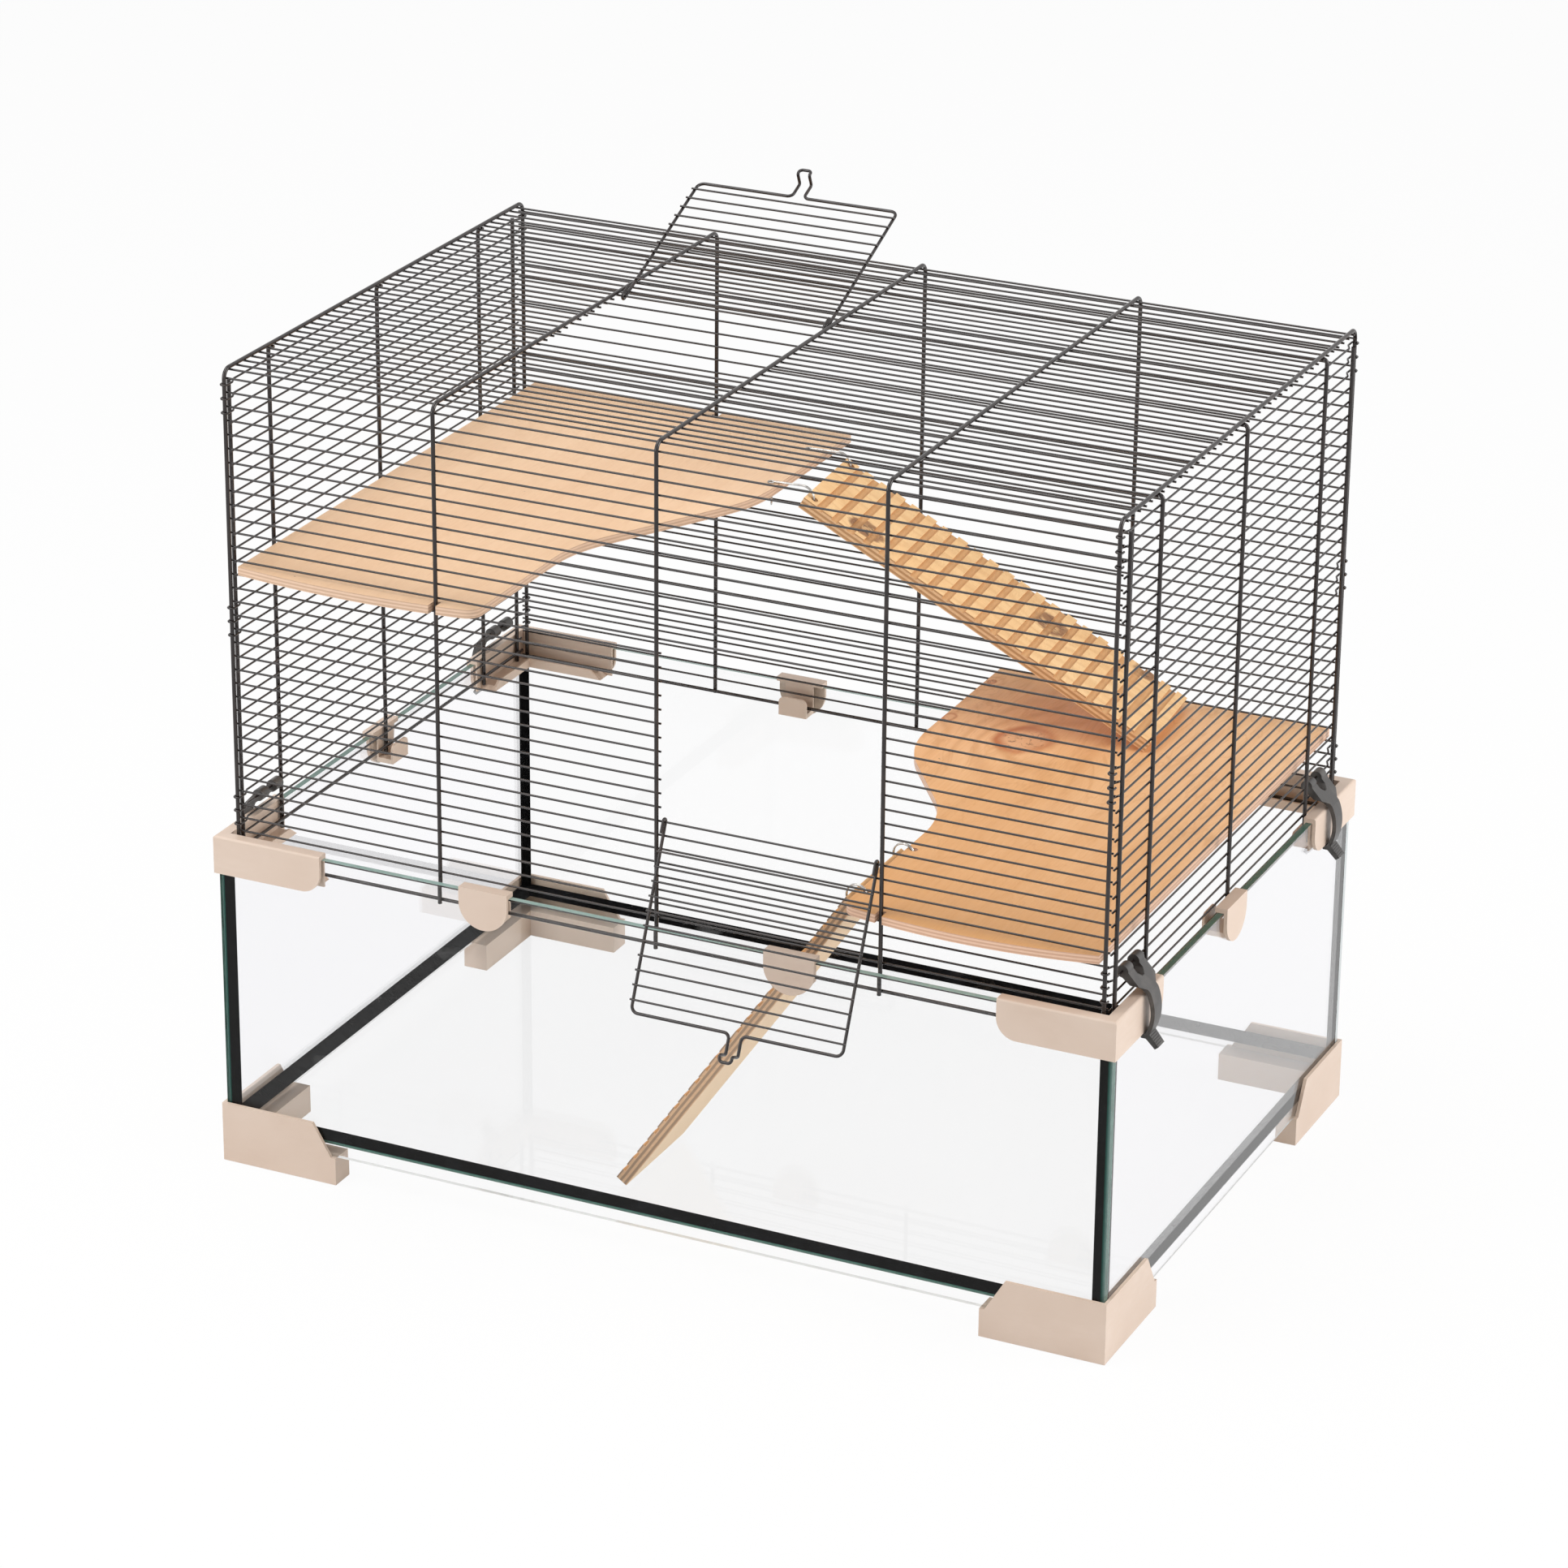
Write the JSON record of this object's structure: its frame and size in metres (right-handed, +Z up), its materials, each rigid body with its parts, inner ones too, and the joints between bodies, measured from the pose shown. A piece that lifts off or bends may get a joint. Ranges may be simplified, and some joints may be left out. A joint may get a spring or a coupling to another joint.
{
  "type": "hamster cage",
  "caption": "Glass tank with a latched wire top, a front door and a roof door, two wooden shelves and two grooved ramps for a small animal.",
  "frame": {"origin": "under the middle of the cage's outline with its doors open, on the surface it stands on", "axes": "+X to the right along the front, +Y to the back, +Z up"},
  "size_m": [0.6192, 0.4474, 0.5815],
  "materials": {
    "clear_glass": "clear float glass with green edges",
    "black_silicone": "smooth black bead",
    "beige_plastic": "fine satin",
    "black_plastic": "satin",
    "black_wire": "gloss powder coat",
    "bright_wire": "polished zinc",
    "pale_plywood": "sanded plywood",
    "knotty_wood": "sanded knotty plywood",
    "ramp_wood": "sanded pine"
  },
  "bodies": {
    "cage": {"glass_front": "clear_glass", "glass_back": "clear_glass", "glass_left": "clear_glass", "glass_right": "clear_glass", "glass_floor": "clear_glass", "floor_silicone": "black_silicone", "corner_silicone": "black_silicone", "foot_front_left": "beige_plastic", "foot_front_right": "beige_plastic", "foot_back_left": "beige_plastic", "foot_back_right": "beige_plastic", "rim_cap_front_left": "beige_plastic", "rim_cap_front_right": "beige_plastic", "rim_cap_back_left": "beige_plastic", "rim_cap_back_right": "beige_plastic", "rim_clip_front_left": "beige_plastic", "rim_clip_front_right": "beige_plastic", "rim_clip_back_left": "beige_plastic", "rim_clip_back_right": "beige_plastic", "rim_clip_right": "beige_plastic", "rim_clip_left": "beige_plastic", "hoop_1": "black_wire", "hoop_2": "black_wire", "hoop_3": "black_wire", "hoop_4": "black_wire", "hoop_5": "black_wire", "front_wires": "black_wire", "back_wires": "black_wire", "front_rim_wire": "black_wire", "back_rim_wire": "black_wire", "roof_wires": "black_wire", "left_uprights": "black_wire", "left_wires": "black_wire", "left_rim_wire": "black_wire", "right_uprights": "black_wire", "right_wires": "black_wire", "right_rim_wire": "black_wire", "upper_shelf": "pale_plywood", "lower_shelf": "knotty_wood", "ramp_ring_front": "bright_wire", "ramp_hook_front": "bright_wire", "ramp_ring_back": "bright_wire", "ramp_hook_back": "bright_wire"},
    "front_door": {"front_door_frame": "black_wire", "front_door_wires": "black_wire"},
    "roof_door": {"roof_door_frame": "black_wire", "roof_door_wires": "black_wire"},
    "upper_ramp": {"upper_ramp": "ramp_wood"},
    "lower_ramp": {"lower_ramp": "ramp_wood"},
    "latch_left_front": {"latch_left_front": "black_plastic"},
    "latch_right_front": {"latch_right_front": "black_plastic"},
    "latch_left_back": {"latch_left_back": "black_plastic"},
    "latch_right_back": {"latch_right_back": "black_plastic"}
  },
  "joints": [
    {"name": "front_door_hinge", "type": "hinge", "parent": "cage", "child": "front_door", "pos_m": [0.07322, -0.16392, 0.2865], "axis": [-1, 0, 0], "range_deg": [0, 156.23]},
    {"name": "roof_door_hinge", "type": "hinge", "parent": "cage", "child": "roof_door", "pos_m": [-0.07322, 0.07262, 0.52179], "axis": [1, 0, 0], "range_deg": [0, 156.23]},
    {"name": "latch_left_front_hinge", "type": "hinge", "parent": "cage", "child": "latch_left_front", "pos_m": [-0.28839, -0.12833, 0.2385], "axis": [0, 1, 0], "range_deg": [0, 100]},
    {"name": "latch_right_front_hinge", "type": "hinge", "parent": "cage", "child": "latch_right_front", "pos_m": [0.28839, -0.12833, 0.2385], "axis": [0, -1, 0], "range_deg": [0, 100]},
    {"name": "latch_left_back_hinge", "type": "hinge", "parent": "cage", "child": "latch_left_back", "pos_m": [-0.28839, 0.17567, 0.2385], "axis": [0, 1, 0], "range_deg": [0, 100]},
    {"name": "latch_right_back_hinge", "type": "hinge", "parent": "cage", "child": "latch_right_back", "pos_m": [0.28839, 0.17567, 0.2385], "axis": [0, -1, 0], "range_deg": [0, 100]},
    {"name": "upper_ramp_hinge", "type": "hinge", "parent": "cage", "child": "upper_ramp", "pos_m": [-0.041, 0.14787, 0.39241], "axis": [0.0819, -0.9966, 0], "range_deg": [0, 40]},
    {"name": "lower_ramp_hinge", "type": "hinge", "parent": "cage", "child": "lower_ramp", "pos_m": [0.1195, -0.10733, 0.25286], "axis": [0, 1, 0], "range_deg": [0, 45]}
  ]
}
